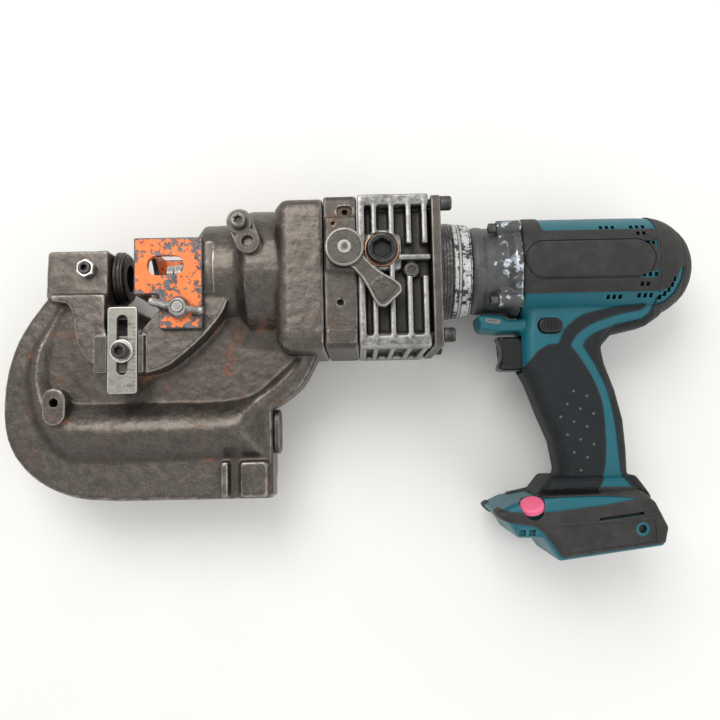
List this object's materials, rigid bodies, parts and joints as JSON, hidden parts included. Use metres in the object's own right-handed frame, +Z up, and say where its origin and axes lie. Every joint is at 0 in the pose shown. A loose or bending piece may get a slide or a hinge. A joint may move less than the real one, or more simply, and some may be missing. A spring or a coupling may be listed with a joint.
{
  "type": "cordless hydraulic hole puncher",
  "caption": "Pistol-grip cordless hydraulic hole puncher: forged C-frame with die, spring-returned punch, stripper and throat gauge, finned pump case, geared motor and battery foot.",
  "frame": {"origin": "centre of the bounding box's footprint, on the surface the tool lies on", "axes": "the tool lies on its side: +X along the punch axis from the C-frame to the motor, +Y from the battery foot to the cylinder, +Z up"},
  "size_m": [0.4654, 0.2368, 0.106],
  "materials": {
    "forged_steel": "worn, oily, rust spots",
    "bright_steel": "machined",
    "black_oxide": "black oxide",
    "orange_paint": "chipped paint over steel",
    "cast_aluminium": "cast, worn paint",
    "teal_plastic": "moulded",
    "black_plastic": "moulded",
    "rubber": "matt, dusty",
    "pink_plastic": "moulded",
    "copper": "plain",
    "seal": "plain"
  },
  "bodies": {
    "frame": {"c_frame": "forged_steel", "frame_end_plate": "forged_steel", "die": "bright_steel", "die_lock_nut": "bright_steel", "die_set_screw": "black_oxide", "return_spring": "black_oxide", "stripper_far_bolt": "bright_steel", "gauge_saddle": "forged_steel", "gauge_washer": "bright_steel", "gauge_clamp_screw": "black_oxide", "hanger_link": "bright_steel", "hanger_link_screw": "black_oxide", "valve_block": "forged_steel", "pump_case": "cast_aluminium", "oil_plug_washer": "copper", "oil_plug": "black_oxide", "adapter_plate": "forged_steel", "ring_gear": "bright_steel", "bearing_collar": "black_oxide", "lock_ring": "cast_aluminium", "gear_case": "cast_aluminium", "handle_shell_near": "teal_plastic", "handle_shell_far": "teal_plastic", "rear_bumper": "rubber", "motor_can": "forged_steel", "rear_bearing": "bright_steel", "switch_body": "black_plastic", "terminal_block": "black_plastic", "trigger_spring": "bright_steel", "adapter_bolt_1": "black_oxide", "gear_case_screw_1": "black_oxide", "adapter_bolt_2": "black_oxide", "gear_case_screw_2": "black_oxide", "adapter_bolt_3": "black_oxide", "gear_case_screw_3": "black_oxide", "adapter_bolt_4": "black_oxide", "gear_case_screw_4": "black_oxide"},
    "ram": {"ram": "bright_steel", "piston_seal": "seal", "punch": "bright_steel", "punch_nut": "black_oxide"},
    "stripper": {"stripper": "orange_paint"},
    "wing_bolt": {"wing_bolt": "bright_steel"},
    "gauge": {"gauge_plate": "bright_steel", "gauge_nose": "black_oxide"},
    "release_lever": {"release_lever": "forged_steel", "release_valve_stem": "bright_steel"},
    "armature": {"armature": "copper", "motor_fan": "rubber"},
    "carrier": {"eccentric_shaft": "bright_steel", "eccentric_bearing": "bright_steel"},
    "planet_1": {"planet_gear_1": "bright_steel"},
    "planet_2": {"planet_gear_2": "bright_steel"},
    "planet_3": {"planet_gear_3": "bright_steel"},
    "pump_plunger": {"pump_plunger": "bright_steel"},
    "trigger": {"trigger": "black_plastic"},
    "direction_button": {"direction_button": "black_plastic"},
    "foot_button": {"foot_button": "pink_plastic"}
  },
  "joints": [
    {"name": "punch_stroke", "type": "slide", "parent": "frame", "child": "ram", "axis": [-1, 0, 0], "range_m": [0, 0.0285], "stiffness_N_per_m": 3000, "springref_m": -0.004, "deforming": ["return_spring"]},
    {"name": "stripper_slide", "type": "slide", "parent": "frame", "child": "stripper", "axis": [1, 0, 0], "range_m": [0, 0.006]},
    {"name": "wing_bolt_turn", "type": "hinge", "parent": "frame", "child": "wing_bolt", "pos_m": [-0.11025, 0.048, 0.083], "axis": [0, 0, 1], "continuous": true},
    {"name": "gauge_slide", "type": "slide", "parent": "frame", "child": "gauge", "axis": [0, 1, 0], "range_m": [-0.008, 0.0065]},
    {"name": "release_lever_turn", "type": "hinge", "parent": "frame", "child": "release_lever", "pos_m": [-0.00305, 0.0808, 0.0966], "axis": [0, 0, 1], "range_deg": [-60, 0]},
    {"name": "motor_spin", "type": "hinge", "parent": "frame", "child": "armature", "pos_m": [0.15525, 0.0746, 0.048], "axis": [1, 0, 0], "continuous": true},
    {"name": "carrier_spin", "type": "hinge", "parent": "frame", "child": "carrier", "pos_m": [0.02525, 0.0746, 0.048], "axis": [1, 0, 0], "continuous": true},
    {"name": "planet_spin_1", "type": "hinge", "parent": "carrier", "child": "planet_1", "pos_m": [0.08825, 0.0881, 0.048], "axis": [1, 0, 0], "continuous": true},
    {"name": "planet_spin_2", "type": "hinge", "parent": "carrier", "child": "planet_2", "pos_m": [0.08825, 0.06785, 0.05969], "axis": [1, 0, 0], "continuous": true},
    {"name": "planet_spin_3", "type": "hinge", "parent": "carrier", "child": "planet_3", "pos_m": [0.08825, 0.06785, 0.03631], "axis": [1, 0, 0], "continuous": true},
    {"name": "pump_plunger_slide", "type": "slide", "parent": "frame", "child": "pump_plunger", "axis": [0, -1, 0], "range_m": [0, 0.0025]},
    {"name": "trigger_pull", "type": "slide", "parent": "frame", "child": "trigger", "axis": [1, 0, 0], "range_m": [0, 0.006], "stiffness_N_per_m": 500, "springref_m": -0.003, "deforming": ["trigger_spring"]},
    {"name": "direction_button_slide", "type": "slide", "parent": "frame", "child": "direction_button", "axis": [0, 0, 1], "range_m": [-0.003, 0.003]},
    {"name": "foot_button_press", "type": "slide", "parent": "frame", "child": "foot_button", "axis": [0.1905, -0.8122, -0.5515], "range_m": [0, 0.0012], "stiffness_N_per_m": 500, "springref_m": -0.001}
  ],
  "couplings": [
    {"joint": "carrier_spin", "follows": "motor_spin", "ratio": 0.22222},
    {"joint": "planet_spin_1", "follows": "motor_spin", "ratio": -0.62222},
    {"joint": "planet_spin_2", "follows": "motor_spin", "ratio": -0.62222},
    {"joint": "planet_spin_3", "follows": "motor_spin", "ratio": -0.62222}
  ]
}
